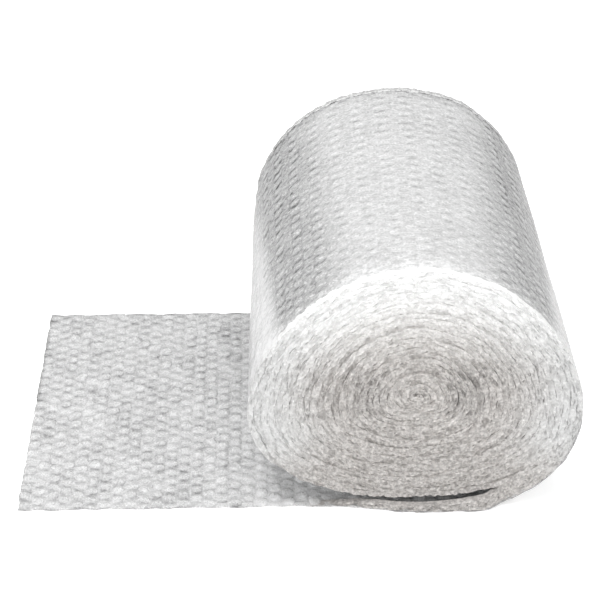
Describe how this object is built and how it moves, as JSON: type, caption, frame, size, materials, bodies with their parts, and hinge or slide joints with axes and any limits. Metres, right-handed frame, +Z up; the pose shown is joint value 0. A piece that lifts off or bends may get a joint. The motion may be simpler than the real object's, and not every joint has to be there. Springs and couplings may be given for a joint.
{
  "type": "bubble film roll",
  "caption": "Roll of small-bubble cushioning film lying on its side, one continuous spiral web with its loose end paid out flat on the floor.",
  "frame": {"origin": "on the floor under the middle of the roll's length and width", "axes": "+X to the roll's right with the loose end running towards -X, +Y along the roll's axis from its front end to its back end, +Z up"},
  "size_m": [0.434, 0.3, 0.2169],
  "materials": {
    "clear_film": "glossy clear film that looks white to pale grey in layers"
  },
  "bodies": {
    "root": {"bubble_film_web": "clear_film"}
  },
  "joints": []
}
